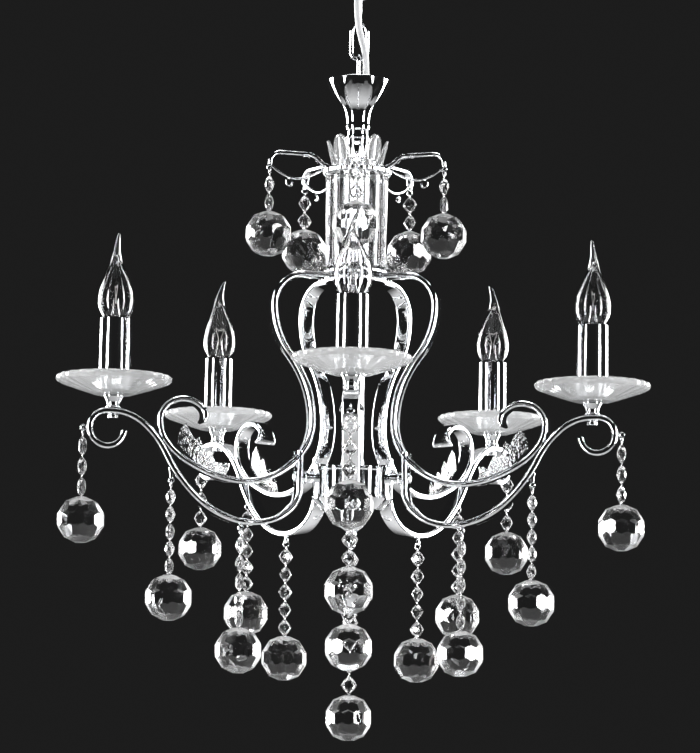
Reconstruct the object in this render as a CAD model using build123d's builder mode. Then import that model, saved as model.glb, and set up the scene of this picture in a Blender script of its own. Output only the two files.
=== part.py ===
"""Five-arm crystal chandelier hanging from a ceiling hook.

Millimetres, +Z up.  The origin is the middle of the ceiling plate's top face.
Heights in this file are measured from the arm peak, the top of the lower
strip's centre line under each candle.  peak_z, its place in the part's frame,
is worked out from the pieces that hang between it and the ceiling.
"""
from build123d import *
import math
import os

os.makedirs("parts", exist_ok=True)

# ---------------------------------------------------------------- overall
arm_count = 5
seat_gap = 0.3               # clearance between pieces that seat on each other

# ---------------------------------------------------------------- strips
strip_thick = 5.0            # flat bar of both arm strips
strip_wide = 14.0
peak_radius = 213.0          # candle axis from the chandelier's axis
curl_radius = 15.0           # curled outer end of the lower strip
curl_offset = 6.0            # curl centre outside the candle axis
curl_sweep = 262.0           # degrees of the curl
valley_radius = 90.0         # lowest point of the lower strip
valley_height = -89.2
strip_foot_radius = 48.5     # lower strip's upright foot beside the hub
strip_foot_top = -26.0
strip_foot_bend = -58.0
bulge_radius = 74.0          # widest point of the lyre
bulge_height = 100.5
waist_radius = 38.0          # narrowest point of the lyre
waist_height = -1.0
upper_valley_radius = 100.0  # lowest point of the upper strip
upper_valley_height = -54.2
scroll_radius = 172.8        # outermost point of the scroll
scroll_height = -5.0
tip_flare = 21.0             # width of the flared scroll tip
tip_flare_length = 9.0
tip_flare_thick = 3.0

# ---------------------------------------------------------------- column
tube_radius = 9.5
nipple_radius = 5.0
nipple_clearance = 0.2
plate_margin = 5.0           # foot plates reach past the circle of rods
plate_thick = 3.0
strip_seat_height = 126.0    # top of the lower foot plate
strip_inner_gap = 5.5        # from the tube to the inner end of the upper strips
top_plate_height = 219.0     # underside of the top plate
top_plate_margin = 8.0       # top plate reaches past the circle of rods
top_plate_thick = 4.0
rod_count = 10
rod_circle = 22.0            # crystal rods stand on this radius
rod_radius = 6.4
rod_taper = 0.9              # degrees, the rods are slimmer at the foot
rod_sides = 6
petal_inset = 3.0            # petals stand inside the circle of rods
petal_height = 29.0
petal_width = 17.0
petal_thick = 3.5
petal_lean = 14.0            # degrees outward

# ---------------------------------------------------------------- top tier
tier_thick = 2.6
tier_wide = 6.0
tier_root = 24.0             # where a top arm leaves its plate
tier_crest_radius = 46.0     # start of the level crest
tier_rise = 9.5              # crest above the arm's foot, on the centre line
tier_bend = 9.8              # bend from the crest down to the tip
tier_tip_radius = 79.5
tier_tip_drop = 10.3         # tip below the crest
tier_curl_thick = 2.0        # thin wire that curls back under a top arm
tier_curl_dip = 11.0         # lowest point of that wire below the tip

leaf_thick = 3.0

# ---------------------------------------------------------------- cup, chain, ceiling
crown_space = 35.0           # from the top plate to the underside of the cup
cup_depth = 44.0
cup_rim_radius = 28.0
cup_neck_radius = 10.8
cup_wall = 1.5
cup_floor = 3.0
cup_neck_length = 8.0
flange_thick = 7.0           # flange of the top loop inside the cup
loop_stem_length = 24.4      # from the flange to the underside of the loop
loop_stem_radius = 3.4
link_length = 35.0           # outside size of one link
link_width = 17.2
wire_radius = 1.8
link_gap = 0.2               # air between two wires that hang on each other
eye_radius = 9.0             # ceiling eye, to the middle of its wire
eye_wire_radius = 2.25
eye_stem_radius = 3.5
eye_neck = 5.45              # from the top of the eye's ring to the plate
ceiling_plate_radius = 31.0
ceiling_plate_thick = 3.0
ceiling_hole_circle = 22.0
ceiling_hole_count = 3
ceiling_hole_radius = 2.25
cord_outlet_radius = 8.0
cord_radius = 2.75

# ---------------------------------------------------------------- hub
drum_radius = 35.0
drum_top = -39.0
drum_bottom = -66.0
drum_sides = 20
drum_bevel = 9.0
bracket_radius = 4.5
bracket_height = -48.0
screw_head = 2.0
finial_radius = 17.0
finial_length = 23.0
finial_tip_radius = 4.0

# ---------------------------------------------------------------- candles
boss_foot_radius = 5.5
boss_top_radius = 8.4
shank_radius = 2.9
nut_radius = 4.5
nut_thick = 3.0
dish_radius = 49.0
dish_seat = 14.0             # underside of the dish in the middle
dish_rim_height = 31.0
dish_rim_thick = 3.4
dish_middle_margin = 3.0     # level middle of the dish round the sleeve
dish_middle_thick = 5.5
sleeve_radius = 13.5
sleeve_wall = 1.2
sleeve_top = 79.0
holder_gap = 1.3             # air between the lamp holder and the sleeve
holder_depth = 5.0           # lamp holder's top below the sleeve's top
holder_bore_depth = 28.0
cap_radius = 6.9             # lamp cap
cap_fit = 0.3                # air round the cap in its holder
cap_rise = 1.5               # cap's shoulder above the holder
cap_end_gap = 4.0            # air under the cap
lamp_neck_gap = 1.7          # air between the glass neck and the sleeve
lamp_wall = 0.9
lamp_stem_radius = 4.2
lamp_stem_rise = 17.0        # glass stem inside the lamp, above the sleeve
# (height above the sleeve, radius, sideways bend of the flame)
lamp_sections = [
    (-0.4, 10.6, 0.0),
    (7.0, 14.7, 0.0),
    (16.0, 16.0, 0.0),
    (27.0, 14.2, 0.0),
    (38.0, 9.8, -0.8),
    (48.0, 5.6, -1.8),
    (58.0, 3.0, -0.8),
    (66.0, 1.9, 2.2),
    (72.0, 1.0, 5.2),
]
lamp_hollow_sections = 5     # sections from the neck up that are hollow
lamp_turn = [0.0, 180.0, 20.0, 160.0, 0.0]   # way each flame tip bends

# ---------------------------------------------------------------- crystal strands
lug_thick = 1.6
lug_hole = 1.5
lug_wall = 1.3
ring_wire = 0.9
ring_inner = 2.5             # inner apothem of the wire ring
bead_radius = 6.7
bead_half_depth = 3.4
bead_table = 3.9             # flat on a bead's face
bead_sides = 8
clip_wire = 1.0
ball_radius = 20.0
ball_sides = 10
ball_rings = 6
ball_polar_angle = 72.0      # latitude of the first and last ring of facets
ball_gap = 0.2
leaf_radius = 161.0          # leaf pendants' distance from the axis
leaf_lug_drop = 12.4         # ring below the strip's centre line
valley_pendant_radius = 99.0
valley_lug_drop = 6.1
tip_drop = 77.65             # middle of a strand's ball below its ring
leaf_drop = 99.0
valley_drop = 103.7
tier_drop = 58.0
bottom_drop = 150.5
tip_beads = 3
leaf_beads = 5
valley_beads = 5
tier_beads = 2
bottom_beads = 7


# ---------------------------------------------------------------- worked out
strip_seat_inner = tube_radius + strip_inner_gap
plate_radius = rod_circle + plate_margin
top_plate_radius = rod_circle + top_plate_margin
petal_circle = rod_circle - petal_inset
boss_top = dish_seat - seat_gap
dish_middle_radius = sleeve_radius + dish_middle_margin
sleeve_bore = sleeve_radius - sleeve_wall
holder_top = sleeve_top - holder_depth
holder_floor = holder_top - holder_bore_depth
curl_outside = peak_radius + curl_offset + curl_radius
tip_lug_height = -curl_radius
tip_pendant_radius = curl_outside + strip_thick / 2 + lug_hole + lug_wall / 2
tip_hang_height = tip_lug_height - lug_hole + ring_wire / 2 + seat_gap
tier_foot_height = top_plate_height + top_plate_thick + tier_thick / 2
tier_crest_height = tier_foot_height + tier_rise
tier_tip_height = tier_crest_height - tier_tip_drop
tier_hang_height = tier_tip_height - 4.0
bottom_hang_height = drum_bottom - drum_bevel - finial_length - 4.5
cup_height = top_plate_height + top_plate_thick + crown_space
flange_radius = cup_neck_radius - cup_wall - seat_gap
flange_top = cup_height + cup_floor + flange_thick
link_pitch = link_length - 4 * wire_radius - link_gap
loop_bottom = flange_top + loop_stem_length
lower_link_bottom = loop_bottom + link_pitch
upper_link_bottom = lower_link_bottom + link_pitch
eye_height = upper_link_bottom + link_length - 2 * wire_radius - link_gap + eye_radius - eye_wire_radius
peak_z = -(eye_height + eye_radius + eye_neck + ceiling_plate_thick)
cord_points = [
    (6.5, 0.0, flange_top),
    (6.5, 0.0, flange_top + 13.0),
    (6.5, -1.0, flange_top + 28.0),
    (6.4, -3.0, flange_top + 43.0),
    (5.8, -5.6, flange_top + 57.0),
    (2.4, -8.4, flange_top + 69.0),
    (-0.8, -11.6, flange_top + 81.0),
    (-2.2, -12.6, flange_top + 96.0),
    (-2.3, -12.8, -peak_z - 21.0),
    (-2.3, -12.8, -peak_z - 2.0),
]


def between(start, end, shares):
    """Points at (x, y) shares of the way from start to end."""
    return [
        (start[0] + (end[0] - start[0]) * x, start[1] + (end[1] - start[1]) * y)
        for x, y in shares
    ]


# ================================================================ frames
def arm_angle(index):
    """Degrees from the front; arm 1 faces the front."""
    return index * 360.0 / arm_count


def outward(angle):
    """Unit vector from the axis along an arm."""
    turn = math.radians(angle)
    return Vector(math.sin(turn), -math.cos(turn), 0)


def sideways(angle):
    """Unit vector across an arm."""
    turn = math.radians(angle)
    return Vector(math.cos(turn), math.sin(turn), 0)


def arm_plane(angle, radius=0.0, height=0.0):
    """Plane along an arm: x is outward and y is up."""
    origin = outward(angle) * radius + Vector(0, 0, peak_z + height)
    return Plane(origin=origin, x_dir=outward(angle), z_dir=sideways(angle) * -1)


def face_plane(angle, radius, height):
    """Plane square to an arm: x is sideways, y is up and z is outward."""
    origin = outward(angle) * radius + Vector(0, 0, peak_z + height)
    return Plane(origin=origin, x_dir=sideways(angle), z_dir=outward(angle))


def level_plane(height, angle=0.0, radius=0.0):
    """Level plane at a height; x is outward."""
    origin = outward(angle) * radius + Vector(0, 0, peak_z + height)
    return Plane(origin=origin, x_dir=outward(angle), z_dir=(0, 0, 1))


def upright_axis(angle=0.0, radius=0.0):
    """Vertical axis at a place on an arm."""
    origin = outward(angle) * radius + Vector(0, 0, peak_z)
    return Axis(origin, (0, 0, 1))


def save(part, name):
    part.label = name
    export_step(part, f"parts/{name}.step")


def arc_chain(points, direction):
    """Tangent arcs through points, each one starting as the last one ended."""
    for start, end in zip(points, points[1:]):
        arc = TangentArc(start, end, tangent=direction)
        direction = arc % 1
    return direction


# ================================================================ arm strips
strip_shoulder = (46.0, strip_seat_height + strip_thick / 2)
bulge = (bulge_radius, bulge_height)
waist = (waist_radius, waist_height)
upper_valley = (upper_valley_radius, upper_valley_height)
scroll_side = (scroll_radius, scroll_height)
strip_foot = (strip_foot_radius, strip_foot_bend)
valley = (valley_radius, valley_height)
peak = (peak_radius, 0.0)
upper_strip_points = [
    strip_shoulder,
    bulge,
    *between(bulge, waist, [(0.428, 0.422)]),
    waist,
    *between(waist, upper_valley, [(0.179, 0.556), (0.6, 0.912)]),
    upper_valley,
    *between(upper_valley, scroll_side, [(0.343, 0.085), (0.673, 0.301), (0.929, 0.64)]),
    scroll_side,
    (scroll_radius - 10.4, scroll_height + 16.0),
    (scroll_radius - 26.9, scroll_height + 17.7),
    (scroll_radius - 36.7, scroll_height + 11.9),
]
lower_strip_points = [
    strip_foot,
    *between(strip_foot, valley, [(0.166, 0.561), (0.564, 0.9)]),
    valley,
    *between(valley, peak, [(0.163, 0.033), (0.403, 0.22), (0.618, 0.601), (0.786, 0.89)]),
    peak,
]


def upper_strip_path():
    """Centre line from the column foot over the lyre to the scroll's tip."""
    Line((strip_seat_inner, strip_shoulder[1]), strip_shoulder)
    return arc_chain(upper_strip_points, (1, 0))


def lower_strip_path():
    """Centre line from the foot beside the hub to the start of the curl."""
    Line((strip_foot_radius, strip_foot_top), (strip_foot_radius, strip_foot_bend))
    arc_chain(lower_strip_points, (0, -1))
    Line((peak_radius, 0), (peak_radius + curl_offset, 0))
    CenterArc(
        (peak_radius + curl_offset, -curl_radius), curl_radius, 90, -curl_sweep
    )


def height_on(path, radius):
    """Height of a centre line where it passes a radius."""
    with BuildLine() as line:
        path()
    spots = [line.wires()[0] @ (i / 600) for i in range(601)]
    return min(spots, key=lambda spot: abs(spot.X - radius)).Y


def strip_outline(path, thickness):
    """Outline of a flat bar of one thickness along a centre line."""
    with BuildLine() as outline:
        path()
        offset(amount=thickness / 2, side=Side.BOTH)
    make_face(outline.edges())


def strip_cutter(path, angle):
    """A strip's space with its seat gap, cut from what rests on it."""
    with BuildPart() as cutter:
        with BuildSketch(arm_plane(angle)):
            strip_outline(path, strip_thick + 2 * seat_gap)
        extrude(amount=strip_wide, both=True)
    return cutter.part


leaf_lug_height = height_on(lower_strip_path, leaf_radius)
leaf_hang_height = leaf_lug_height - leaf_lug_drop
valley_lug_height = height_on(lower_strip_path, valley_pendant_radius)
valley_hang_height = valley_lug_height - valley_lug_drop


def lug(angle, radius, height, root_radius, root_height):
    """Drilled lug in the arm's plane; a strand's ring hangs at radius, height."""
    hole_height = height + lug_hole - ring_wire / 2 - seat_gap
    with BuildSketch(arm_plane(angle)) as outline:
        with BuildLine():
            Line((radius, hole_height), (root_radius, root_height))
            offset(amount=lug_hole + lug_wall, side=Side.BOTH)
        make_face()
        with Locations((radius, hole_height)):
            Circle(lug_hole, mode=Mode.SUBTRACT)
    extrude(outline.sketch, amount=lug_thick / 2, both=True)


def upper_strip(angle):
    """Lyre, valley and scroll in one bar, with a flared tip."""
    end_x, end_y = upper_strip_points[-1]
    with BuildLine():
        heading = upper_strip_path()
    tip_plane = Plane(
        origin=outward(angle) * end_x + Vector(0, 0, peak_z + end_y),
        x_dir=sideways(angle),
        z_dir=outward(angle) * heading.X + Vector(0, 0, heading.Y),
    )
    with BuildPart() as strip:
        with BuildSketch(arm_plane(angle)):
            strip_outline(upper_strip_path, strip_thick)
        extrude(amount=strip_wide / 2, both=True)
        with BuildSketch(tip_plane):
            Rectangle(strip_wide, strip_thick)
        with BuildSketch(tip_plane.offset(tip_flare_length)):
            Rectangle(tip_flare, tip_flare_thick)
        loft()
    return strip.part


def lower_strip(angle):
    """Candle arm: foot at the hub, valley, peak and curled end, with three lugs."""
    with BuildPart() as strip:
        with BuildSketch(arm_plane(angle)):
            strip_outline(lower_strip_path, strip_thick)
        extrude(amount=strip_wide / 2, both=True)
        lug(angle, tip_pendant_radius, tip_hang_height, curl_outside, tip_lug_height)
        lug(angle, leaf_radius, leaf_hang_height, leaf_radius, leaf_lug_height)
        lug(angle, valley_pendant_radius, valley_hang_height,
            valley_pendant_radius, valley_lug_height)
        with BuildSketch(level_plane(strip_thick, angle, peak_radius)):
            Circle(shank_radius + seat_gap)
        extrude(amount=-2 * strip_thick, mode=Mode.SUBTRACT)
        with BuildSketch(face_plane(angle, strip_foot_radius, bracket_height)):
            Circle(bracket_radius)
        extrude(amount=strip_thick / 2 + screw_head)
    return strip.part - strip_cutter(upper_strip_path, angle)


# ================================================================ crystal strands
def strand(angle, radius, height, drop, bead_count):
    """Ring, beads and clips in one strand, and the faceted ball under it."""
    hang = face_plane(angle, radius, height)
    ball_height = height - drop
    ring_low = -(2 * ring_inner + 1.5 * ring_wire)
    ball_top = ball_height + ball_radius * math.sin(math.radians(ball_polar_angle))
    strand_end = ball_top + ball_gap - height
    pitch = (ring_low - strand_end) / bead_count
    centres = [ring_low - pitch * (i + 0.5) for i in range(bead_count)]
    with BuildPart() as pendant:
        with BuildSketch(hang):
            with Locations((0, -(ring_inner + ring_wire / 2))):
                RegularPolygon(ring_inner + ring_wire, 8, major_radius=False, rotation=22.5)
                RegularPolygon(
                    ring_inner, 8, major_radius=False, rotation=22.5, mode=Mode.SUBTRACT
                )
        extrude(amount=ring_wire / 2, both=True)
        for y in centres:
            bead(angle, radius, height + y)
        with BuildSketch(hang):
            with Locations([(0, y + pitch / 2) for y in centres]):
                Rectangle(clip_wire, pitch - 2 * bead_radius + 2 * clip_wire)
            with Locations((0, strand_end + clip_wire)):
                Rectangle(clip_wire, 2 * clip_wire)
        extrude(amount=clip_wire / 2, both=True)
        ball(angle, radius, ball_height)
    return pendant.part


def bead(angle, radius, height):
    """Octagonal bead, widest in the middle, facing outward."""
    faces = []
    for depth, size in ((-1, bead_table), (0, bead_radius), (1, bead_table)):
        plane = face_plane(angle, radius + depth * bead_half_depth, height)
        with BuildSketch(plane) as face:
            RegularPolygon(size, bead_sides)
        faces.append(face.sketch)
    loft(faces, ruled=True)


def ball(angle, radius, height):
    """Faceted crystal ball, rings of flat facets between two small flats."""
    step = 2 * ball_polar_angle / (ball_rings - 1)
    rings = []
    for i in range(ball_rings):
        latitude = math.radians(i * step - ball_polar_angle)
        rise = height + ball_radius * math.sin(latitude)
        with BuildSketch(level_plane(rise, angle, radius)) as ring:
            RegularPolygon(ball_radius * math.cos(latitude), ball_sides)
        rings.append(ring.sketch)
    loft(rings, ruled=True)


# ================================================================ candles
def revolved(angle, radius, outline):
    """Solid of revolution about a vertical axis, from (radius, height) points."""
    with BuildPart() as body:
        with BuildSketch(arm_plane(angle, radius)):
            with BuildLine():
                Polyline(outline, close=True)
            make_face()
        revolve(axis=upright_axis(angle, radius))
    return body.part


def candle_boss(angle):
    """Tapered boss with a threaded shank and nut below and a nipple above."""
    strip_top = strip_thick / 2 + seat_gap
    nut_top = strip_top + seat_gap
    nipple_top = dish_seat + dish_middle_thick + 2 * seat_gap + plate_thick
    return revolved(angle, peak_radius, [
        (0, -nut_top - nut_thick),
        (nut_radius, -nut_top - nut_thick),
        (nut_radius, -nut_top),
        (shank_radius, -nut_top),
        (shank_radius, strip_top),
        (boss_foot_radius, strip_top),
        (boss_top_radius, boss_top),
        (nipple_radius, boss_top),
        (nipple_radius, nipple_top),
        (0, nipple_top),
    ])


def lamp_holder(angle):
    """Socket that screws on the boss's nipple inside the sleeve."""
    foot = dish_seat + dish_middle_thick + seat_gap
    bore = nipple_radius + nipple_clearance
    return revolved(angle, peak_radius, [
        (bore, foot),
        (sleeve_bore - holder_gap, foot),
        (sleeve_bore - holder_gap, holder_top),
        (cap_radius + cap_fit, holder_top),
        (cap_radius + cap_fit, holder_floor),
        (bore, holder_floor),
    ])


def glass_dish(angle):
    """Shallow cone of thick glass with a flat middle and a rounded rim."""
    bore = nipple_radius + nipple_clearance
    middle_top = dish_seat + dish_middle_thick
    return revolved(angle, peak_radius, [
        (bore, dish_seat),
        (dish_middle_radius, dish_seat),
        (dish_radius - dish_rim_thick / 2, dish_rim_height),
        (dish_radius, dish_rim_height + dish_rim_thick / 2),
        (dish_radius - dish_rim_thick / 2, dish_rim_height + dish_rim_thick),
        (dish_middle_radius + 2, middle_top),
        (bore, middle_top),
    ])


def candle_sleeve(angle):
    """Plain tube that stands in the dish round the lamp holder."""
    foot = dish_seat + dish_middle_thick
    return revolved(angle, peak_radius, [
        (sleeve_bore, foot),
        (sleeve_radius, foot),
        (sleeve_radius, sleeve_top),
        (sleeve_bore, sleeve_top),
    ])


def flame_sections(angle, sections, inset, turn):
    """Circles of the flame outline, bent sideways towards the tip."""
    bend_way = sideways(angle) * math.cos(math.radians(turn))
    bend_way += outward(angle) * math.sin(math.radians(turn))
    circles = []
    for height, radius, bend in sections:
        plane = level_plane(sleeve_top + height, angle, peak_radius)
        origin = plane.origin + bend_way * bend
        with BuildSketch(Plane(origin=origin, x_dir=plane.x_dir, z_dir=(0, 0, 1))) as ring:
            Circle(radius - inset)
        circles.append(ring.sketch)
    loft(circles, ruled=True)


def lamp(index):
    """Flame lamp: glass envelope, inner stem and screw cap."""
    angle = arm_angle(index)
    turn = lamp_turn[index % len(lamp_turn)]
    neck = sleeve_bore - lamp_neck_gap
    cap_low = holder_floor + cap_end_gap
    cap_top = holder_top + cap_rise
    glass_foot = sleeve_top + lamp_sections[0][0] - seat_gap
    stem_top = sleeve_top + lamp_stem_rise
    with BuildPart() as glass:
        flame_sections(angle, lamp_sections, 0, turn)
    with BuildPart() as hollow:
        flame_sections(angle, lamp_sections[:lamp_hollow_sections], lamp_wall, turn)
    cap = revolved(angle, peak_radius, [
        (0, cap_low),
        (cap_radius / 3, cap_low),
        (cap_radius, cap_low + cap_radius / 2),
        (cap_radius, cap_top),
        (neck, cap_top + 2 * seat_gap),
        (neck, glass_foot),
        (lamp_stem_radius, glass_foot),
        (lamp_stem_radius / 2, stem_top),
        (0, stem_top),
    ])
    return Compound(children=[glass.part - hollow.part, cap])


# ================================================================ column
def centre_tube():
    """Stepped tube through the drum and the column, with three plates."""
    plate_low = strip_seat_height - plate_thick
    strips_top = strip_seat_height + strip_thick
    outline = [
        (0, drum_bottom - drum_bevel - nipple_radius),
        (nipple_radius, drum_bottom - drum_bevel - nipple_radius),
        (nipple_radius, drum_top),
        (tube_radius, drum_top),
        (tube_radius, plate_low),
        (plate_radius, plate_low),
        (plate_radius, strip_seat_height),
        (tube_radius, strip_seat_height),
        (tube_radius, cup_height),
        (nipple_radius, cup_height),
        (nipple_radius, cup_height + cup_floor + flange_thick / 2),
        (0, cup_height + cup_floor + flange_thick / 2),
    ]
    bore = tube_radius + nipple_clearance
    clamp_plate = revolved(0, 0, [
        (bore, strips_top),
        (plate_radius, strips_top),
        (plate_radius, strips_top + plate_thick),
        (bore, strips_top + plate_thick),
    ])
    top_plate = revolved(0, 0, [
        (bore, top_plate_height),
        (top_plate_radius, top_plate_height),
        (top_plate_radius, top_plate_height + top_plate_thick),
        (bore, top_plate_height + top_plate_thick),
    ])
    return Compound(children=[revolved(0, 0, outline), clamp_plate, top_plate])


def column_rods():
    """Ring of tapered crystal rods between the clamp plate and the top plate."""
    foot = strip_seat_height + strip_thick + plate_thick
    with BuildPart() as rods:
        with BuildSketch(level_plane(top_plate_height)):
            with PolarLocations(rod_circle, rod_count):
                RegularPolygon(rod_radius, rod_sides)
        extrude(amount=foot - top_plate_height, taper=rod_taper)
    return rods.part


def crown_petals():
    """Pointed crystal petals that stand on the top plate between the top arms."""
    foot = top_plate_height + top_plate_thick
    petals = []
    for index in range(arm_count):
        angle = arm_angle(index + 0.5)
        plane = face_plane(angle, petal_circle, foot).rotated((-petal_lean, 0, 0))
        with BuildPart() as petal:
            with BuildSketch(plane):
                with BuildLine():
                    Line((0, 0), (petal_width / 4, 0))
                    ThreePointArc(
                        (petal_width / 4, 0),
                        (petal_width / 2, petal_height * 0.45),
                        (0, petal_height),
                    )
                    mirror(about=Plane.YZ)
                make_face()
            extrude(amount=petal_thick)
            split(bisect_by=level_plane(foot), keep=Keep.TOP)
        petals.append(petal.part)
    return Compound(children=petals)


def tier_path():
    """Centre line of a top-tier arm from the top plate over its crest to the tip."""
    root = (tier_root, tier_foot_height)
    crest = (tier_crest_radius, tier_crest_height)
    bend_start = (tier_tip_radius - tier_bend, tier_crest_height)
    bend_end = (tier_tip_radius, tier_crest_height - tier_bend)
    Line((tube_radius + tier_wide, tier_foot_height), root)
    arc_chain([root, *between(root, crest, [(0.5, 0.5)]), crest], (1, 0))
    Line(crest, bend_start)
    arc_chain([bend_start, bend_end], (1, 0))
    Line(bend_end, (tier_tip_radius, tier_tip_height))


def tier_curl_path():
    """Thin wire that curls from the tip back to the rim of the top plate."""
    end_gap = seat_gap + tier_curl_thick / 2
    rim = (top_plate_radius + end_gap, top_plate_height + top_plate_thick / 2)
    low = (tier_tip_radius - 19.0, tier_tip_height - tier_curl_dip)
    arc_chain([
        (tier_tip_radius, tier_tip_height),
        low,
        *between(low, rim, [(0.6, 0.25)]),
        rim,
    ], (-1, -1))


def top_arms():
    """Thin scrolled strips on the top plate, each with its wire and its lug."""
    arms = []
    for index in range(arm_count):
        angle = arm_angle(index)
        with BuildPart() as arm:
            with BuildSketch(arm_plane(angle)):
                strip_outline(tier_path, tier_thick)
            extrude(amount=tier_wide / 2, both=True)
            with BuildSketch(arm_plane(angle)):
                strip_outline(tier_curl_path, tier_curl_thick)
            extrude(amount=tier_curl_thick / 2, both=True)
            lug(angle, tier_tip_radius, tier_hang_height,
                tier_tip_radius, tier_tip_height)
        arms.append(arm.part)
    return Compound(children=arms)


def leaf(angle, outline, path):
    """Toothed crystal leaf in the arm's plane, seated on a strip."""
    with BuildPart() as blade:
        with BuildSketch(arm_plane(angle)):
            with BuildLine():
                Polyline(outline, close=True)
            make_face()
        extrude(amount=leaf_thick / 2, both=True)
        add(strip_cutter(path, angle), mode=Mode.SUBTRACT)
    return blade.part


def moved(anchor, offsets):
    """Outline points from their distances to an anchor point."""
    return [(anchor[0] + x, anchor[1] + y) for x, y in offsets]


scroll_leaf = moved(scroll_side, [
    (-60.8, -48), (-55.8, -34), (-51.8, -37), (-45.8, -24), (-41.8, -27),
    (-35.8, -13), (-31.8, -16), (-23.8, -2), (-18.8, -7), (-15.8, -20), (-39.8, -41),
])
foot_leaf = moved(strip_shoulder, [
    (-18, 0.5), (-18, 18.5), (-14, 21.5), (-12, 13.5), (-7, 18.5),
    (-5, 9.5), (1, 12.5), (2, 5.5), (9, 4.5), (11, -2.5), (0, 0.5),
])


def arm_leaves():
    leaves = []
    for index in range(arm_count):
        angle = arm_angle(index)
        leaves.append(leaf(angle, scroll_leaf, upper_strip_path))
        leaves.append(leaf(angle, foot_leaf, upper_strip_path))
    return Compound(children=leaves)


# ================================================================ hub
def hub_drum():
    """Fluted drum with a bevelled underside and a bracket for each arm."""
    with BuildPart() as drum:
        with BuildSketch(level_plane(drum_bottom)):
            RegularPolygon(drum_radius, drum_sides)
        extrude(amount=drum_top - drum_bottom)
        with BuildSketch(level_plane(drum_bottom)):
            RegularPolygon(drum_radius, drum_sides)
        extrude(amount=-drum_bevel, taper=45)
        for index in range(arm_count):
            with BuildSketch(face_plane(arm_angle(index), drum_radius / 2, bracket_height)):
                Circle(bracket_radius)
            extrude(amount=strip_foot_radius - strip_thick / 2 - drum_radius / 2)
        with BuildSketch(level_plane(drum_top)):
            Circle(nipple_radius + nipple_clearance)
        extrude(amount=-2 * drum_radius, mode=Mode.SUBTRACT)
    return drum.part


def hub_finial():
    """Turned finial on the tube's lower nipple, with a lug for the last strand."""
    top = drum_bottom - drum_bevel
    low = top - finial_length
    with BuildPart() as finial:
        with BuildSketch(arm_plane(0)):
            with BuildLine():
                Polyline([
                    (0, low), (0, top - 1.2 * nipple_radius),
                    (nipple_radius + nipple_clearance, top - 1.2 * nipple_radius),
                    (nipple_radius + nipple_clearance, top),
                    (finial_radius, top), (finial_radius, top - 3),
                ])
                TangentArc(
                    (finial_radius, top - 3), (finial_tip_radius, low + 4),
                    tangent=(-0.3, -1),
                )
                Polyline([(finial_tip_radius, low + 4), (finial_tip_radius, low), (0, low)])
            make_face()
        revolve(axis=upright_axis())
        lug(0, 0, bottom_hang_height, 0, low + 1)
    return finial.part


# ================================================================ cup, chain and ceiling
def cup_wall_path():
    """Middle of the cup's wall from its neck to its rim."""
    neck = (cup_neck_radius - cup_wall / 2, cup_height + cup_neck_length)
    rim = (cup_rim_radius - cup_wall / 2, cup_height + cup_depth)
    Line((neck[0], cup_height + cup_wall), neck)
    arc_chain([neck, *between(neck, rim, [(0.317, 0.417)]), rim], (0, 1))


def trumpet_cup():
    """Flared cup with a flat floor that stands on the tube's shoulder."""
    bore = nipple_radius + nipple_clearance
    with BuildPart() as cup:
        with BuildSketch(arm_plane(0)):
            strip_outline(cup_wall_path, cup_wall)
        revolve(axis=upright_axis())
    floor = revolved(0, 0, [
        (bore, cup_height),
        (cup_neck_radius - cup_wall / 2, cup_height),
        (cup_neck_radius - cup_wall / 2, cup_height + cup_floor),
        (bore, cup_height + cup_floor),
    ])
    return cup.part + floor


def link(plane, low):
    """Oval wire link; its plane's y is up and its lowest point is at low."""
    bend = link_width / 2 - wire_radius
    bottom_centre = low + link_width / 2
    top_centre = low + link_length - link_width / 2
    with BuildPart() as body:
        for side, start in ((1, top_centre), (-1, bottom_centre)):
            foot = plane.from_local_coords((side * bend, start, 0))
            middle = plane.from_local_coords((0, start, 0))
            with BuildSketch(Plane(origin=foot, z_dir=plane.y_dir)):
                Circle(wire_radius)
            revolve(axis=Axis(middle, plane.z_dir), revolution_arc=180)
            with BuildSketch(Plane(origin=foot, z_dir=plane.y_dir * -side)):
                Circle(wire_radius)
            extrude(amount=top_centre - bottom_centre)
    return body.part


def top_loop():
    """Long loop with a stem and a flange that screws on the tube's nipple."""
    flange_low = cup_height + cup_floor
    bore = nipple_radius + nipple_clearance
    nipple_end = flange_low + flange_thick / 2 + nipple_clearance
    stem = revolved(0, 0, [
        (bore, flange_low), (flange_radius, flange_low),
        (flange_radius, flange_top), (loop_stem_radius, flange_top),
        (loop_stem_radius, loop_bottom + 0.8 * wire_radius),
        (0, loop_bottom + 0.8 * wire_radius), (0, nipple_end), (bore, nipple_end),
    ])
    return link(arm_plane(0), loop_bottom) + stem


def ceiling_hook():
    """Round ceiling plate with screw holes and a cord outlet, and its eye."""
    plate_low = -peak_z - ceiling_plate_thick
    with BuildPart() as hook:
        with BuildSketch(level_plane(plate_low)):
            Circle(ceiling_plate_radius)
            with PolarLocations(ceiling_hole_circle, ceiling_hole_count, 90):
                Circle(ceiling_hole_radius, mode=Mode.SUBTRACT)
            with Locations((-cord_points[-1][1], cord_points[-1][0])):
                Circle(cord_outlet_radius, mode=Mode.SUBTRACT)
        extrude(amount=ceiling_plate_thick)
        with BuildSketch(level_plane(eye_height + eye_radius)):
            Circle(eye_stem_radius)
        extrude(amount=plate_low - eye_height - eye_radius)
        with BuildSketch(Plane(origin=(eye_radius, 0, peak_z + eye_height), z_dir=(0, 0, 1))):
            Circle(eye_wire_radius)
        revolve(axis=Axis((0, 0, peak_z + eye_height), (0, 1, 0)))
    return hook.part


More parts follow.
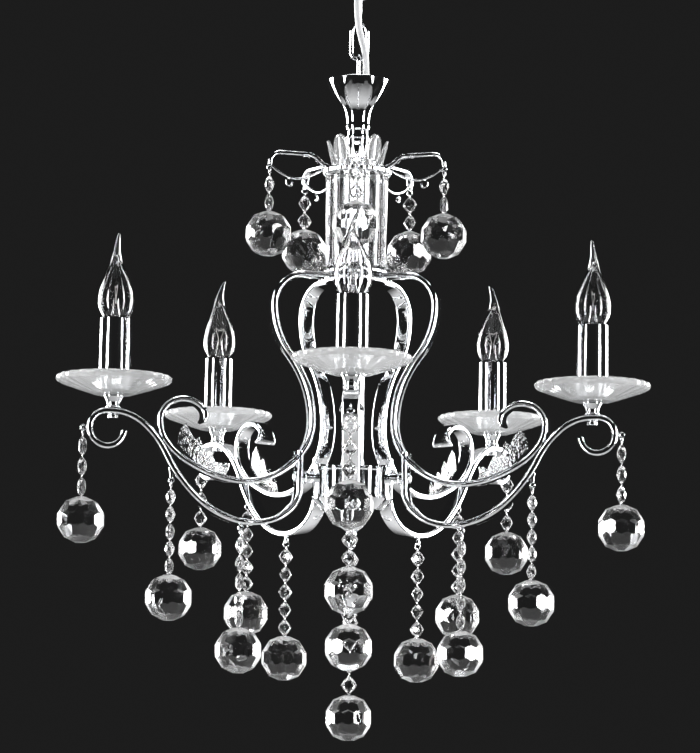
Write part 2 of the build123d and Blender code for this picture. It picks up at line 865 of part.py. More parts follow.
def supply_cord():
    """Cord from the loop's flange past the links into the ceiling plate."""
    points = [Vector(x, y, peak_z + z) for x, y, z in cord_points]
    runs = [(b - a).length for a, b in zip(points, points[1:])]
    radii = []
    for before, here, after, run, next_run in zip(points, points[1:], points[2:], runs, runs[1:]):
        turn = math.radians((here - before).get_angle(after - here))
        radii.append(0.45 * min(run, next_run) / math.tan(turn / 2))
    print("cord radii", [round(radius, 1) for radius in radii])
    with BuildPart() as cord:
        with BuildLine() as route:
            FilletPolyline(*points, radius=radii)
        with BuildSketch(Plane(origin=points[0], z_dir=points[1] - points[0])):
            Circle(cord_radius)
        sweep()
    length = route.wires()[0].length
    print("cord length", round(length, 1), "volume share",
          round(cord.part.volume / (math.pi * cord_radius ** 2 * length), 4))
    return cord.part


# ================================================================ everything
for number in range(1, arm_count + 1):
    angle = arm_angle(number - 1)
    save(upper_strip(angle), f"upper_strip_{number}")
    save(lower_strip(angle), f"lower_strip_{number}")
    save(glass_dish(angle), f"glass_dish_{number}")
    save(candle_sleeve(angle), f"candle_sleeve_{number}")
    save(lamp(number - 1), f"lamp_{number}")
    save(strand(angle, tip_pendant_radius, tip_hang_height, tip_drop, tip_beads),
         f"tip_pendant_{number}")
    save(strand(angle, leaf_radius, leaf_hang_height, leaf_drop, leaf_beads),
         f"leaf_pendant_{number}")
    save(strand(angle, valley_pendant_radius, valley_hang_height,
                valley_drop, valley_beads),
         f"valley_pendant_{number}")
    save(strand(angle, tier_tip_radius, tier_hang_height, tier_drop, tier_beads),
         f"top_pendant_{number}")

save(strand(0, 0, bottom_hang_height, bottom_drop, bottom_beads), "bottom_pendant")
sockets = []
for number in range(arm_count):
    sockets += [candle_boss(arm_angle(number)), lamp_holder(arm_angle(number))]
save(Compound(children=sockets), "candle_sockets")
save(centre_tube(), "centre_tube")
save(column_rods(), "column_rods")
save(crown_petals(), "crown_petals")
save(top_arms(), "top_arms")
save(arm_leaves(), "arm_leaves")
save(hub_drum(), "hub_drum")
save(hub_finial(), "hub_finial")
save(trumpet_cup(), "trumpet_cup")
save(top_loop(), "top_loop")
save(link(Plane(origin=(0, 0, peak_z), x_dir=(1, 0, 0), z_dir=(0, -1, 0)), lower_link_bottom), "chain_link_lower")
save(link(arm_plane(0), upper_link_bottom), "chain_link_upper")
save(ceiling_hook(), "ceiling_hook")
save(supply_cord(), "supply_cord")
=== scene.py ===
"""Looks of the five-arm crystal chandelier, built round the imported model."""
import math
import random

import bpy
import bmesh
from mathutils import Matrix, Vector


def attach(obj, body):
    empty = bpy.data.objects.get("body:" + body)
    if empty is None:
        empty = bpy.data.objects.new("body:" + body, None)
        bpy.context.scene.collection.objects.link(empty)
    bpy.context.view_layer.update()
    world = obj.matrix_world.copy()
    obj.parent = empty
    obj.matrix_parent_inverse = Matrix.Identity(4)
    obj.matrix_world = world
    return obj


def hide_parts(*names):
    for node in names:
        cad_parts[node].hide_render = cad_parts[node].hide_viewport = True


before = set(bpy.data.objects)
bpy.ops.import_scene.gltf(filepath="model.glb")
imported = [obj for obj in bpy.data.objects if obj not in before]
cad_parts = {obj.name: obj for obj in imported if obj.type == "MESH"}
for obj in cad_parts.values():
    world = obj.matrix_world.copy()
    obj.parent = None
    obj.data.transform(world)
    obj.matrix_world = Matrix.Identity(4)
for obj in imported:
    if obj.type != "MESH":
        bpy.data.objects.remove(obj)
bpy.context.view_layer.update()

MM = 0.001
PEAK = -403.0                    # arm peak below the ceiling face, mm; heights count from it
ARMS = [0.0, 72.0, 144.0, 216.0, 288.0]
CANDLE = 213.0                   # radius of the candles' axes
BAR = (7.0, 2.5)                 # half width and half thickness of an arm strip
BAR_CORNER = 1.8
# radius and height at which each kind of strand hangs
TIP_HOOK = (238.65, -15.75)
LEAF_HOOK = (161.0, -57.0)
VALLEY_HOOK = (99.0, -94.8)
TOP_HOOK = (79.5, 219.5)
BOTTOM_HOOK = (0.0, -102.5)


# ---------------------------------------------------------------- camera
def add_camera():
    """The photograph's camera: 3 m away, below the arms and looking up."""
    azimuth = math.radians(0.525)
    pitch = math.radians(7.7654)
    roll = math.radians(0.92897)
    distance, height = 3.0, -0.770495
    sensor, photo_width = 36.0, 700.0
    focal_pixels, shift_pixels = 3497.377, -3.9105
    flat = Vector((-math.sin(azimuth), math.cos(azimuth), 0))
    right = Vector((math.cos(azimuth), math.sin(azimuth), 0))
    forward = flat * math.cos(pitch) + Vector((0, 0, math.sin(pitch)))
    up = Vector((0, 0, math.cos(pitch))) - flat * math.sin(pitch)
    x_axis = right * math.cos(roll) + up * math.sin(roll)
    y_axis = up * math.cos(roll) - right * math.sin(roll)
    data = bpy.data.cameras.new("camera")
    data.sensor_fit = "HORIZONTAL"
    data.sensor_width = sensor
    data.lens = focal_pixels * sensor / photo_width
    data.shift_x = shift_pixels / photo_width
    data.clip_end = 50.0
    camera = bpy.data.objects.new("camera", data)
    place = flat * -distance + Vector((0, 0, height))
    turn = Matrix((x_axis, y_axis, -forward)).transposed().to_4x4()
    camera.matrix_world = Matrix.Translation(place) @ turn
    bpy.context.scene.collection.objects.link(camera)
    bpy.context.scene.camera = camera


add_camera()


# ---------------------------------------------------------------- materials
class Nodes:
    """A material's node tree, with short calls to add and join nodes."""

    def __init__(self, name):
        self.material = bpy.data.materials.new(name)
        self.material.use_nodes = True
        self.tree = self.material.node_tree
        self.shader = self.tree.nodes["Principled BSDF"]
        self.coords = self.tree.nodes.new("ShaderNodeTexCoord").outputs["Object"]

    def join(self, source, target):
        self.tree.links.new(source, target)

    def noise(self, scale, detail=3.0, stretch=(1, 1, 1)):
        mapping = self.tree.nodes.new("ShaderNodeMapping")
        mapping.inputs["Scale"].default_value = stretch
        self.join(self.coords, mapping.inputs["Vector"])
        noise = self.tree.nodes.new("ShaderNodeTexNoise")
        noise.inputs["Scale"].default_value = scale
        noise.inputs["Detail"].default_value = detail
        self.join(mapping.outputs["Vector"], noise.inputs["Vector"])
        return noise.outputs["Fac"]

    def spread(self, source, low, high, start=0.3, end=0.7):
        """A number that runs from low to high as the source goes from start to end."""
        node = self.tree.nodes.new("ShaderNodeMapRange")
        node.inputs["From Min"].default_value = start
        node.inputs["From Max"].default_value = end
        node.inputs["To Min"].default_value = low
        node.inputs["To Max"].default_value = high
        self.join(source, node.inputs["Value"])
        return node.outputs["Result"]

    def ramp(self, source, stops):
        node = self.tree.nodes.new("ShaderNodeValToRGB")
        elements = node.color_ramp.elements
        while len(elements) < len(stops):
            elements.new(0.5)
        for element, (position, colour) in zip(elements, stops):
            element.position = position
            element.color = (*colour, 1)
        self.join(source, node.inputs["Fac"])
        return node.outputs["Color"]

    def add(self, a, b, how="ADD"):
        node = self.tree.nodes.new("ShaderNodeMath")
        node.operation = how
        for socket, value in zip(node.inputs, (a, b)):
            if isinstance(value, (int, float)):
                socket.default_value = value
            else:
                self.join(value, socket)
        return node.outputs["Value"]

    def edges(self, start=0.52, end=0.6):
        """One along worn outer edges and none on flat faces."""
        geometry = self.tree.nodes.new("ShaderNodeNewGeometry")
        return self.spread(geometry.outputs["Pointiness"], 0.0, 1.0, start, end)

    def bump(self, height, strength, distance=0.0002):
        node = self.tree.nodes.new("ShaderNodeBump")
        node.inputs["Strength"].default_value = strength
        node.inputs["Distance"].default_value = distance
        self.join(height, node.inputs["Height"])
        self.join(node.outputs["Normal"], self.shader.inputs["Normal"])

    def set(self, **values):
        for name, value in values.items():
            self.shader.inputs[name.replace("_", " ").title()].default_value = value


def metal(name, dark, light, smooth, rough, stretch=(1, 1, 1), bump=0.05, haze=60.0):
    """Plated metal: cloudy colour, wiped polish, fine scratches and rubbed edges."""
    nodes = Nodes(name)
    nodes.set(metallic=1.0)
    cloud = nodes.noise(haze, 4.0, stretch)
    nodes.join(nodes.ramp(cloud, [(0.3, dark), (0.7, light)]), nodes.shader.inputs["Base Color"])
    wiped = nodes.spread(nodes.noise(haze * 2.2, 5.0, stretch), smooth, rough)
    worn = nodes.add(nodes.edges(), 0.05, "MULTIPLY")
    nodes.join(nodes.add(wiped, worn), nodes.shader.inputs["Roughness"])
    nodes.bump(nodes.noise(1400.0, 3.0, stretch), bump, 0.00004)
    return nodes.material


def glass(name, colour, ior, smooth, rough, bump, grain, wave=40.0, clear=1.0, rim=0.0):
    """Clear glass with faint streaks, a little wear and moulded ripples."""
    nodes = Nodes(name)
    nodes.set(metallic=0.0)
    nodes.shader.inputs["Transmission Weight"].default_value = clear
    nodes.shader.inputs["IOR"].default_value = ior
    tint = tuple(c * 0.965 for c in colour)
    nodes.join(nodes.ramp(nodes.noise(wave, 3.0), [(0.3, tint), (0.7, colour)]),
               nodes.shader.inputs["Base Color"])
    worn = nodes.spread(nodes.noise(wave * 4, 4.0), smooth, rough)
    facing = nodes.tree.nodes.new("ShaderNodeLayerWeight").outputs["Facing"]
    nodes.join(nodes.add(worn, nodes.spread(facing, 0.0, rim, 0.15, 0.85)),
               nodes.shader.inputs["Roughness"])
    nodes.bump(nodes.noise(grain, 2.0), bump, 0.0003 + 0.0009 * max(0.0, bump - 0.4))
    return nodes.material


def cord_material():
    """Silver-grey plastic sheath with a fine lengthways draw and dull patches."""
    nodes = Nodes("cord_sheath")
    grime = nodes.noise(120.0, 4.0, (1, 1, 0.25))
    nodes.join(nodes.ramp(grime, [(0.3, (0.52, 0.53, 0.54)), (0.7, (0.68, 0.69, 0.7))]),
               nodes.shader.inputs["Base Color"])
    nodes.join(nodes.spread(grime, 0.3, 0.45), nodes.shader.inputs["Roughness"])
    nodes.bump(nodes.noise(900.0, 2.0, (1, 1, 0.1)), 0.15, 0.0001)
    return nodes.material


CHROME = metal("chrome_plate", (0.83, 0.84, 0.86), (0.92, 0.93, 0.94), 0.035, 0.085)
SATIN = metal("satin_fittings", (0.62, 0.62, 0.63), (0.76, 0.76, 0.77), 0.16, 0.27,
              (1, 1, 0.3), 0.12)
SLEEVE = metal("sleeve_plate", (0.8, 0.81, 0.83), (0.9, 0.91, 0.92), 0.05, 0.1,
               (1, 1, 0.15), 0.06)
WIRE = metal("strand_wire", (0.74, 0.74, 0.75), (0.86, 0.86, 0.87), 0.08, 0.16, bump=0.08)
CRYSTAL = glass("cut_crystal", (0.99, 0.992, 1.0), 1.56, 0.0, 0.02, 0.02, 260.0, rim=0.36)
PRESSED = glass("pressed_crystal", (0.985, 0.99, 0.995), 1.54, 0.03, 0.12, 0.3, 240.0,
                clear=0.8)
DISH = glass("dish_glass", (0.975, 0.982, 0.986), 1.5, 0.08, 0.2, 0.3, 190.0, clear=0.72)
LAMP = glass("lamp_glass", (0.985, 0.985, 0.985), 1.47, 0.0, 0.015, 0.03, 90.0)
LEAF = glass("leaf_crystal", (0.985, 0.99, 0.995), 1.54, 0.0, 0.04, 1.0, 260.0, rim=0.1)
FILAMENT = metal("filament_wire", (0.42, 0.41, 0.4), (0.6, 0.59, 0.57), 0.25, 0.4)
CORD_SHEATH = cord_material()


# ---------------------------------------------------------------- supply cord
CORD = [
    (6.5, 0.0, 268.0),
    (6.5, 0.0, 281.0),
    (6.5, -1.0, 296.0),
    (6.4, -3.0, 311.0),
    (5.8, -5.6, 325.0),
    (2.4, -8.4, 337.0),
    (-0.8, -11.6, 349.0),
    (-2.2, -12.6, 364.0),
    (-2.3, -12.8, 382.0),
    (-2.3, -12.8, 401.0),
]


def add_cord():
    data = bpy.data.curves.new("supply_cord_flex", "CURVE")
    data.dimensions = "3D"
    spline = data.splines.new("NURBS")
    spline.points.add(len(CORD) - 1)
    for point, (x, y, z) in zip(spline.points, CORD):
        point.co = (x * MM, y * MM, (z + PEAK) * MM, 1)
    spline.order_u = 3
    spline.use_endpoint_u = True
    spline.resolution_u = 12
    data.bevel_depth = 2.75 * MM
    data.bevel_resolution = 6
    data.use_fill_caps = True
    data.materials.append(CORD_SHEATH)
    cord = bpy.data.objects.new("supply_cord_flex", data)
    bpy.context.scene.collection.objects.link(cord)
    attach(cord, "chandelier")
    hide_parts("supply_cord")
    x, y, z = CORD[0]


add_cord()


# ---------------------------------------------------------------- mesh helpers
def outward(angle):
    turn = math.radians(angle)
    return Vector((math.sin(turn), -math.cos(turn), 0))


def sideways(angle):
    turn = math.radians(angle)
    return Vector((math.cos(turn), math.sin(turn), 0))


def at(angle, radius, height, side=0.0):
    """Point of an arm's plane in metres, from millimetres above the arm peak."""
    flat = outward(angle) * radius + sideways(angle) * side
    return (flat + Vector((0, 0, height + PEAK))) * MM


def piece(name, bm, body, material, nodes=(), smooth=40.0):
    """Finish a mesh as a named piece; edges sharper than smooth stay crisp."""
    bmesh.ops.recalc_face_normals(bm, faces=bm.faces)
    limit = math.radians(smooth)
    for face in bm.faces:
        face.smooth = smooth > 0
    for edge in bm.edges:
        edge.smooth = edge.is_manifold and edge.calc_face_angle(0) < limit
    mesh = bpy.data.meshes.new(name)
    bm.to_mesh(mesh)
    bm.free()
    mesh.materials.append(material)
    made = bpy.data.objects.new(name, mesh)
    bpy.context.scene.collection.objects.link(made)
    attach(made, body)
    if nodes:
        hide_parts(*nodes)


def skin(bm, rings, closed_ring=True, closed_path=False):
    """Faces between rings of points, with a cap at each end of an open path."""
    made = [[bm.verts.new(point) for point in ring] for ring in rings]
    pairs = list(zip(made, made[1:]))
    if closed_path:
        pairs.append((made[-1], made[0]))
    for low, high in pairs:
        count = len(low)
        for i in range(count if closed_ring else count - 1):
            j = (i + 1) % count
            bm.faces.new((low[i], low[j], high[j], high[i]))
    if not closed_path:
        bm.faces.new(made[0][::-1])
        bm.faces.new(made[-1])


def rounded(half_wide, half_thick, corner, steps=4):
    """Outline of a bar with rounded edges."""
    points = []
    for sx, sy, start in ((1, 1, 0), (-1, 1, 90), (-1, -1, 180), (1, -1, 270)):
        for i in range(steps + 1):
            turn = math.radians(start + 90 * i / steps)
            points.append((sx * (half_wide - corner) + corner * math.cos(turn),
                           sy * (half_thick - corner) + corner * math.sin(turn)))
    return points


def turned(vector, angle):
    c, s = math.cos(angle), math.sin(angle)
    return Vector((vector.x * c - vector.y * s, vector.x * s + vector.y * c))


def arc_rows(points, heading, step=2.2):
    """Points and headings along tangent arcs; also returns the last heading."""
    rows = []
    way = Vector(heading).normalized()
    for start, end in zip(points, points[1:]):
        start, end = Vector(start), Vector(end)
        chord = end - start
        turn = 2 * math.atan2(way.x * chord.y - way.y * chord.x, way.dot(chord))
        if abs(turn) < 1e-5:
            length = chord.length
            centre = None
        else:
            radius = chord.length / 2 / math.sin(turn / 2)
            length = abs(radius * turn)
            centre = start + Vector((-way.y, way.x)) * radius
        count = max(2, round(length / step))
        for i in range(count):
            part = turn * i / count
            here = start + chord * i / count
            if centre is not None:
                here = centre + turned(start - centre, part)
            rows.append((here, turned(way, part)))
        way = turned(way, turn)
    return rows, way


def level_rows(start, length, height, count):
    """Points and headings of a level straight that runs outward."""
    return [(Vector((start + length * i / count, height)), Vector((1, 0)))
            for i in range(count)]


def ribbon(bm, angle, rows, sizes, corner):
    """Flat bar with rounded edges along rows of an arm's plane."""
    rings = []
    for (here, way), (half_wide, half_thick) in zip(rows, sizes):
        up = Vector((-way.y, way.x))
        ring = []
        for u, v in rounded(half_wide, half_thick, min(corner, half_thick * 0.9)):
            spot = here + up * v
            ring.append(at(angle, spot.x, spot.y, u))
        rings.append(ring)
    skin(bm, rings)


def wire(bm, points, radius, sides=10, closed=False):
    """Round wire through points in metres."""
    points = [Vector(p) for p in points]
    count = len(points)
    rings = []
    before = None
    for i, here in enumerate(points):
        if closed:
            way = points[(i + 1) % count] - points[i - 1]
        else:
            way = points[min(i + 1, count - 1)] - points[max(i - 1, 0)]
        way.normalize()
        if before is None:
            across = way.orthogonal().normalized()
        else:
            across = (before - way * before.dot(way)).normalized()
        before = across
        other = way.cross(across)
        size = radius[i] if isinstance(radius, (list, tuple)) else radius
        rings.append([
            here + (across * math.cos(t) + other * math.sin(t)) * size
            for t in (2 * math.pi * k / sides for k in range(sides))
        ])
    if closed:
        turn = rings[0][0] - points[0]
        shift = min(range(sides), key=lambda k: (
            (rings[-1][k] - points[-1]) - turn).length)
        rings[-1] = rings[-1][shift:] + rings[-1][:shift]
    skin(bm, rings, closed_path=closed)


def hoop(bm, centre, x_way, y_way, radius, size, sides=10, steps=32):
    """Closed ring of round wire in the plane of two unit vectors."""
    wire(bm, [
        centre + (x_way * math.cos(t) + y_way * math.sin(t)) * radius
        for t in (2 * math.pi * k / steps for k in range(steps))
    ], size, sides, closed=True)


def corner_curve(before, here, after, radius, steps):
    """Points of the curve that rounds one corner of an outline."""
    back, ahead = before - here, after - here
    size = min(radius, back.length * 0.45, ahead.length * 0.45)
    start = here + back.normalized() * size
    end = here + ahead.normalized() * size
    return [start * (1 - t) ** 2 + here * 2 * t * (1 - t) + end * t * t
            for t in (i / steps for i in range(steps + 1))]


def softened(points, radius, steps=4):
    """An open outline with its inner corners rounded."""
    points = [Vector(point) for point in points]
    made = [points[0]]
    for before, here, after in zip(points, points[1:], points[2:]):
        made += corner_curve(before, here, after, radius, steps)
    return made + [points[-1]]


def eased(points, radius, steps=2):
    """A closed outline with its corners rounded."""
    points = [Vector(point) for point in points]
    made = []
    for i, here in enumerate(points):
        after = points[(i + 1) % len(points)]
        made += corner_curve(points[i - 1], here, after, radius, steps)
    return made


def lathe(bm, outline, angle=0.0, radius=0.0, steps=56, flute=None, closed=False):
    """Turned solid about a vertical axis; flute changes the radius by turn and height."""
    centre = outward(angle) * radius
    rings = []
    for k in range(steps):
        turn = 2 * math.pi * k / steps
        ring = []
        for r, h in outline:
            if flute and r > 0:
                r = r + flute(turn, r, h)
            ring.append((centre + Vector((math.cos(turn) * r, math.sin(turn) * r,
                                          h + PEAK))) * MM)
        rings.append(ring)
    skin(bm, rings, closed_ring=closed, closed_path=True)
    bmesh.ops.remove_doubles(bm, verts=bm.verts, dist=1e-7)


def gem(bm, planes, size, matrix):
    """Solid cut by flat facets: planes are (normal, distance) round the origin."""
    block = bmesh.new()
    bmesh.ops.create_cube(block, size=2 * size)
    for normal, distance in planes:
        normal = Vector(normal).normalized()
        parts = block.verts[:] + block.edges[:] + block.faces[:]
        cut = bmesh.ops.bisect_plane(
            block, geom=parts, dist=1e-6, plane_co=normal * distance,
            plane_no=normal, clear_outer=True)
        edges = [e for e in cut["geom_cut"] if isinstance(e, bmesh.types.BMEdge)]
        if edges:
            bmesh.ops.contextual_create(block, geom=edges)
    copies = {v: bm.verts.new(matrix @ v.co) for v in block.verts}
    for face in block.faces:
        bm.faces.new([copies[v] for v in face.verts])
    block.free()


def basis(angle, radius, height, twist=0.0):
    """Matrix of a piece on a strand: x sideways, y outward, z up, in metres."""
    x_way, y_way = sideways(angle + twist), outward(angle + twist)
    turn = Matrix((x_way, y_way, Vector((0, 0, 1)))).transposed().to_4x4()
    return Matrix.Translation(at(angle, radius, height)) @ turn


# ---------------------------------------------------------------- arms
UPPER = [
    (46.0, 128.5), (74.0, 100.5), (58.6, 57.7), (38.0, -1.0), (49.1, -30.6),
    (75.2, -49.5), (100.0, -54.2), (125.0, -50.0), (149.0, -39.4), (167.6, -22.7),
    (172.8, -5.0), (162.4, 11.0), (145.9, 12.7), (136.1, 6.9),
]
LOWER = [
    (48.5, -58.0), (55.4, -75.5), (71.9, -86.1), (90.0, -89.2), (110.1, -86.3),
    (139.6, -69.6), (166.0, -35.6), (186.7, -9.8), (CANDLE, 0.0),
]


def hanger(bm, angle, radius, height, root_radius, root_height):
    """Drilled lug that a strand hangs on, with a rounded eye."""
    eye = Vector((radius, height + 0.75))
    root = Vector((root_radius, root_height))
    way = (root - eye).normalized()
    across = Vector((-way.y, way.x))
    hoop(bm, at(angle, eye.x, eye.y), outward(angle), Vector((0, 0, 1)), 2.15 * MM, 0.65 * MM,
         8, 20)
    start = eye + way * 2.3
    rings = []
    for spot, wide in ((start, 1.1), (root, 2.6)):
        rings.append([at(angle, spot.x + across.x * v, spot.y + across.y * v, u)
                      for u, v in rounded(0.8, wide, 0.3, 2)])
    skin(bm, rings)


def upper_strip(index, angle):
    """Lyre, valley and scroll in one flat bar, with its flared tip."""
    tip_rows, tip_turn, tip_step = 15, math.radians(5.5), 0.95
    arcs, way = arc_rows(UPPER, (1, 0))
    rows = level_rows(15.0, 31.0, 128.5, 8) + arcs
    sizes = [BAR] * len(rows)
    here = Vector(UPPER[-1])
    for i in range(tip_rows):
        t = i / (tip_rows - 1)
        rows.append((here.copy(), way.copy()))
        swell = t * t * (3 - 2 * t)
        sizes.append((BAR[0] + 3.2 * swell, BAR[1] - 1.2 * t))
        way = turned(way, tip_turn)
        here = here + way * tip_step
    bm = bmesh.new()
    ribbon(bm, angle, rows, sizes, BAR_CORNER)
    piece(f"upper_strip_{index}_bar", bm, "chandelier", CHROME,
          [f"upper_strip_{index}"])


def lower_strip(index, angle):
    """Candle arm with its foot, valley, peak, curl, lugs and bracket screw."""
    curl_radius, curl_height, curl_size, curl_degrees = 219, -15, 15, 262.0
    rows = [(Vector((48.5, -26.0 - 32.0 * i / 10)), Vector((0, -1))) for i in range(10)]
    arcs, _ = arc_rows(LOWER, (0, -1))
    rows += arcs
    rows.append((Vector(LOWER[-1]), Vector((1, 0))))
    count = 44
    for i in range(count + 1):
        turn = math.radians(90 - curl_degrees * i / count)
        rows.append((Vector((curl_radius + curl_size * math.cos(turn),
                             curl_height + curl_size * math.sin(turn))),
                     Vector((math.sin(turn), -math.cos(turn)))))
    bm = bmesh.new()
    ribbon(bm, angle, rows, [BAR] * len(rows), BAR_CORNER)
    hanger(bm, angle, *TIP_HOOK, 235.2, -15.0)
    hanger(bm, angle, *LEAF_HOOK, 161.0, -44.0)
    hanger(bm, angle, *VALLEY_HOOK, 99.0, -89.5)
    piece(f"lower_strip_{index}_bar", bm, "chandelier", CHROME,
          [f"lower_strip_{index}"])
    bm = bmesh.new()
    dome = [(0, 53.6), (2.0, 53.5), (3.4, 52.9), (4.3, 51.9), (4.5, 51.1), (4.5, 50.9), (0, 50.9)]
    rings = []
    for k in range(28):
        t = 2 * math.pi * k / 28
        rings.append([at(angle, h, -48.0 + r * math.sin(t), r * math.cos(t)) for r, h in dome])
    skin(bm, rings, closed_ring=False, closed_path=True)
    bmesh.ops.remove_doubles(bm, verts=bm.verts, dist=1e-7)
    piece(f"bracket_screw_{index}", bm, "chandelier", CHROME)


for number, arm in enumerate(ARMS, 1):
    upper_strip(number, arm)
    lower_strip(number, arm)


# ---------------------------------------------------------------- crystal strands
def ball_planes(radius):
    """Facets of a cut ball: five rings, each turned half a facet from the last."""
    planes = []
    for latitude, count, turn in ((64, 6, 0), (32, 12, 15), (0, 12, 0),
                                  (-32, 12, 15), (-64, 6, 0)):
        for k in range(count):
            a = math.radians(360.0 * k / count + turn)
            b = math.radians(latitude)
            planes.append(((math.cos(a) * math.cos(b), math.sin(a) * math.cos(b),
                            math.sin(b)), radius))
    planes += [((0, 0, 1), radius), ((0, 0, -1), radius)]
    return planes


BEAD_HALF_WIDTH, BEAD_SHOULDER = 6.7, 4.3
BEAD_ROWS = ((-3.4, 0.42), (-2.3, 0.74), (-0.3, 1.0), (0.3, 1.0), (2.3, 0.74), (3.4, 0.42))


def cut_bead(bm, half_height, matrix):
    """Lozenge bead with eight corners: a table and two rings of facets a side, a thin girdle."""
    corners = []
    for sx, sz in ((1, 1), (1, -1), (-1, -1), (-1, 1)):
        tall, slant = (0.0, sz * half_height), (sx * BEAD_SHOULDER, sz * half_height * 0.5)
        corners += [tall, slant] if sx * sz > 0 else [(sx * BEAD_HALF_WIDTH, 0.0), slant]
    rings = []
    for depth, scale in BEAD_ROWS:
        rings.append([matrix @ Vector((x * scale * MM, depth * MM, z * scale * MM))
                      for x, z in corners])
    skin(bm, rings)


BALL = ball_planes(19.1 * MM)
BALL_RADIUS = 20                 # reach of the ball's corners
RING_RADIUS, CLIP_WIRE = 2.95, 0.45
random.seed(11)


def strand(name, angle, hook, ball_height, bead_count):
    """Ring, cut beads on wire clips and a faceted ball under a metal cap."""
    radius, height = hook
    ring_low = -6.35
    ball_top = ball_height + BALL_RADIUS * math.sin(math.radians(72))
    end = ball_top + 0.2 - height
    pitch = (ring_low - end) / bead_count
    metal_bm, beads_bm, ball_bm = bmesh.new(), bmesh.new(), bmesh.new()
    hoop(metal_bm, at(angle, radius, height - RING_RADIUS), sideways(angle),
         Vector((0, 0, 1)), RING_RADIUS * MM, CLIP_WIRE * MM, 8, 24)
    for i in range(bead_count):
        middle = height + ring_low - pitch * (i + 0.5)
        twist = random.uniform(-12, 12)
        half = min(8.2, pitch / 2 - 0.15)
        cut_bead(beads_bm, half, basis(angle, radius, middle, twist))
        top = middle + pitch / 2
        clip(metal_bm, angle, radius, top + 1.2, top - (pitch / 2 - half) - 1.2)
    clip(metal_bm, angle, radius, height + end + 1.9, height + end - 0.6)
    lathe(metal_bm, [(0, ball_top - 0.6), (3.4, ball_top - 0.6), (3.5, ball_top + 0.2),
                     (2.2, ball_top + 1.1), (0, ball_top + 1.3)], angle, radius, 20)
    gem(ball_bm, BALL, 24 * MM, basis(angle, radius, ball_height, random.uniform(0, 30)))
    piece(name + "_wire", metal_bm, name, WIRE, [name])
    piece(name + "_beads", beads_bm, name, CRYSTAL, [name], smooth=0)
    piece(name + "_ball", ball_bm, name, CRYSTAL, [name], smooth=0)


def clip(bm, angle, radius, high, low):
    """Bent pin that joins two beads."""
    count = 8
    wire(bm, [
        at(angle, radius, high + (low - high) * i / count,
           0.35 * math.sin(2 * math.pi * i / count))
        for i in range(count + 1)
    ], CLIP_WIRE * MM, 8)


for number, arm in enumerate(ARMS, 1):
    strand(f"tip_pendant_{number}", arm, TIP_HOOK, -93.4, 3)
    strand(f"leaf_pendant_{number}", arm, LEAF_HOOK, -156.0, 5)
    strand(f"valley_pendant_{number}", arm, VALLEY_HOOK, -198.5, 5)
    strand(f"top_pendant_{number}", arm, TOP_HOOK, 161.5, 2)
strand("bottom_pendant", 0.0, BOTTOM_HOOK, -253.0, 7)


# ---------------------------------------------------------------- suspension
def oval(bm, low, flat):
    """Bent wire link 35 high, with the small swelling of its weld."""
    bend, foot, head = 6.8, low + 8.6, low + 26.4
    spots = [(bend * math.cos(t), head + bend * math.sin(t))
             for t in (math.pi * i / 14 for i in range(15))]
    spots += [(-bend, head + (foot - head) * i / 5) for i in range(1, 5)]
    spots += [(-bend * math.cos(t), foot - bend * math.sin(t))
              for t in (math.pi * i / 14 for i in range(15))]
    rise = [(bend, foot + (head - foot) * i / 9) for i in range(1, 9)]
    sizes = [1.8 * MM] * (len(spots) + len(rise))
    for k in (-5, -4):
        sizes[k] += 0.1 * MM
    wire(bm, [(flat * x + Vector((0, 0, z + PEAK))) * MM for x, z in spots + rise],
         sizes, 14, closed=True)


def suspension():
    """Two links, the top loop on its stem, and the ceiling plate's screws and collar."""
    bm = bmesh.new()
    oval(bm, 347.6, outward(0))
    piece("chain_link_upper_wire", bm, "upper_link", CHROME, ["chain_link_upper"])
    bm = bmesh.new()
    oval(bm, 320.0, sideways(0))
    piece("chain_link_lower_wire", bm, "chandelier", CHROME, ["chain_link_lower"])
    bm = bmesh.new()
    oval(bm, 292.4, outward(0))
    piece("top_loop_wire", bm, "chandelier", CHROME, ["top_loop"])
    bm = bmesh.new()
    lathe(bm, softened([
        (0, 261.0), (9.0, 261.0), (9.0, 266.4), (7.6, 268.0), (4.6, 268.3), (3.9, 270.5),
        (3.4, 272.0), (3.4, 286.0), (4.3, 288.2), (4.3, 290.0), (3.4, 291.6), (3.2, 293.8),
        (0, 294.0)], 0.7))
    piece("top_loop_stem", bm, "chandelier", CHROME, ["top_loop"])
    bm = bmesh.new()
    for turn in (90, 210, 330):
        lathe(bm, [(0, 399.0), (1.6, 399.0), (3.4, 399.5), (3.8, 400.0), (2.1, 400.0),
                   (2.1, 402.8), (0, 402.8)], turn, 22.0, 24)
    piece("ceiling_screws", bm, "ceiling_mount", SATIN)
    bm = bmesh.new()
    lathe(bm, eased([(3.5, 397.6), (5.6, 397.6), (7.4, 400.0), (3.5, 400.0)], 0.5),
          closed=True)
    piece("ceiling_collar", bm, "ceiling_mount", CHROME)


def cup_flutes(turn, r, h):
    """Shallow upright flutes that fade out at the neck and the rim."""
    grow = min(1.0, max(0.0, (r - 11.0) / 6.0)) * min(1.0, max(0.0, (301.0 - h) / 5.0))
    return 0.3 * grow * math.cos(12 * turn)


